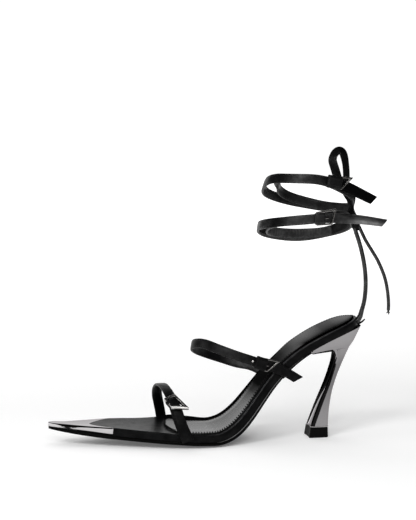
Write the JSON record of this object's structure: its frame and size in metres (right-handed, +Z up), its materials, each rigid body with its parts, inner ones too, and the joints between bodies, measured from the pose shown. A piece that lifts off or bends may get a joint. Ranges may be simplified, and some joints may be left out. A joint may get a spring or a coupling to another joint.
{
  "type": "high heel sandal",
  "caption": "Pointed high-heeled sandal for the left foot with a metal toe cap, flared metal heel and slim buckled straps over the toes, instep and ankle.",
  "frame": {"origin": "middle of the flat spot under the ball of the sole, on the floor", "axes": "+X towards the heel, +Y towards the inner side of the foot, +Z up"},
  "size_m": [0.2715, 0.0793, 0.2287],
  "materials": {
    "black_leather": "smooth black leather, soft sheen",
    "grey_leather": "smooth grey insole leather, satin",
    "black_resin": "black sole, satin",
    "dark_chrome": "polished dark chrome plating",
    "polished_steel": "polished",
    "black_rubber": "matt black"
  },
  "bodies": {
    "root": {"outsole": "black_resin", "footbed": "black_leather", "sock": "grey_leather", "toe_cap": "dark_chrome", "heel": "dark_chrome", "heel_tip": "black_rubber", "toe_strap": "black_leather", "toe_buckle": "polished_steel", "toe_prong": "polished_steel", "instep_strap": "black_leather", "instep_buckle": "polished_steel", "instep_prong": "polished_steel", "ankle_strap_lower": "black_leather", "lower_buckle": "polished_steel", "lower_prong": "polished_steel", "ankle_strap_upper": "black_leather", "upper_buckle": "polished_steel", "upper_prong": "polished_steel", "bow": "black_leather", "back_tie": "black_leather", "tie_end": "black_leather"}
  },
  "joints": []
}
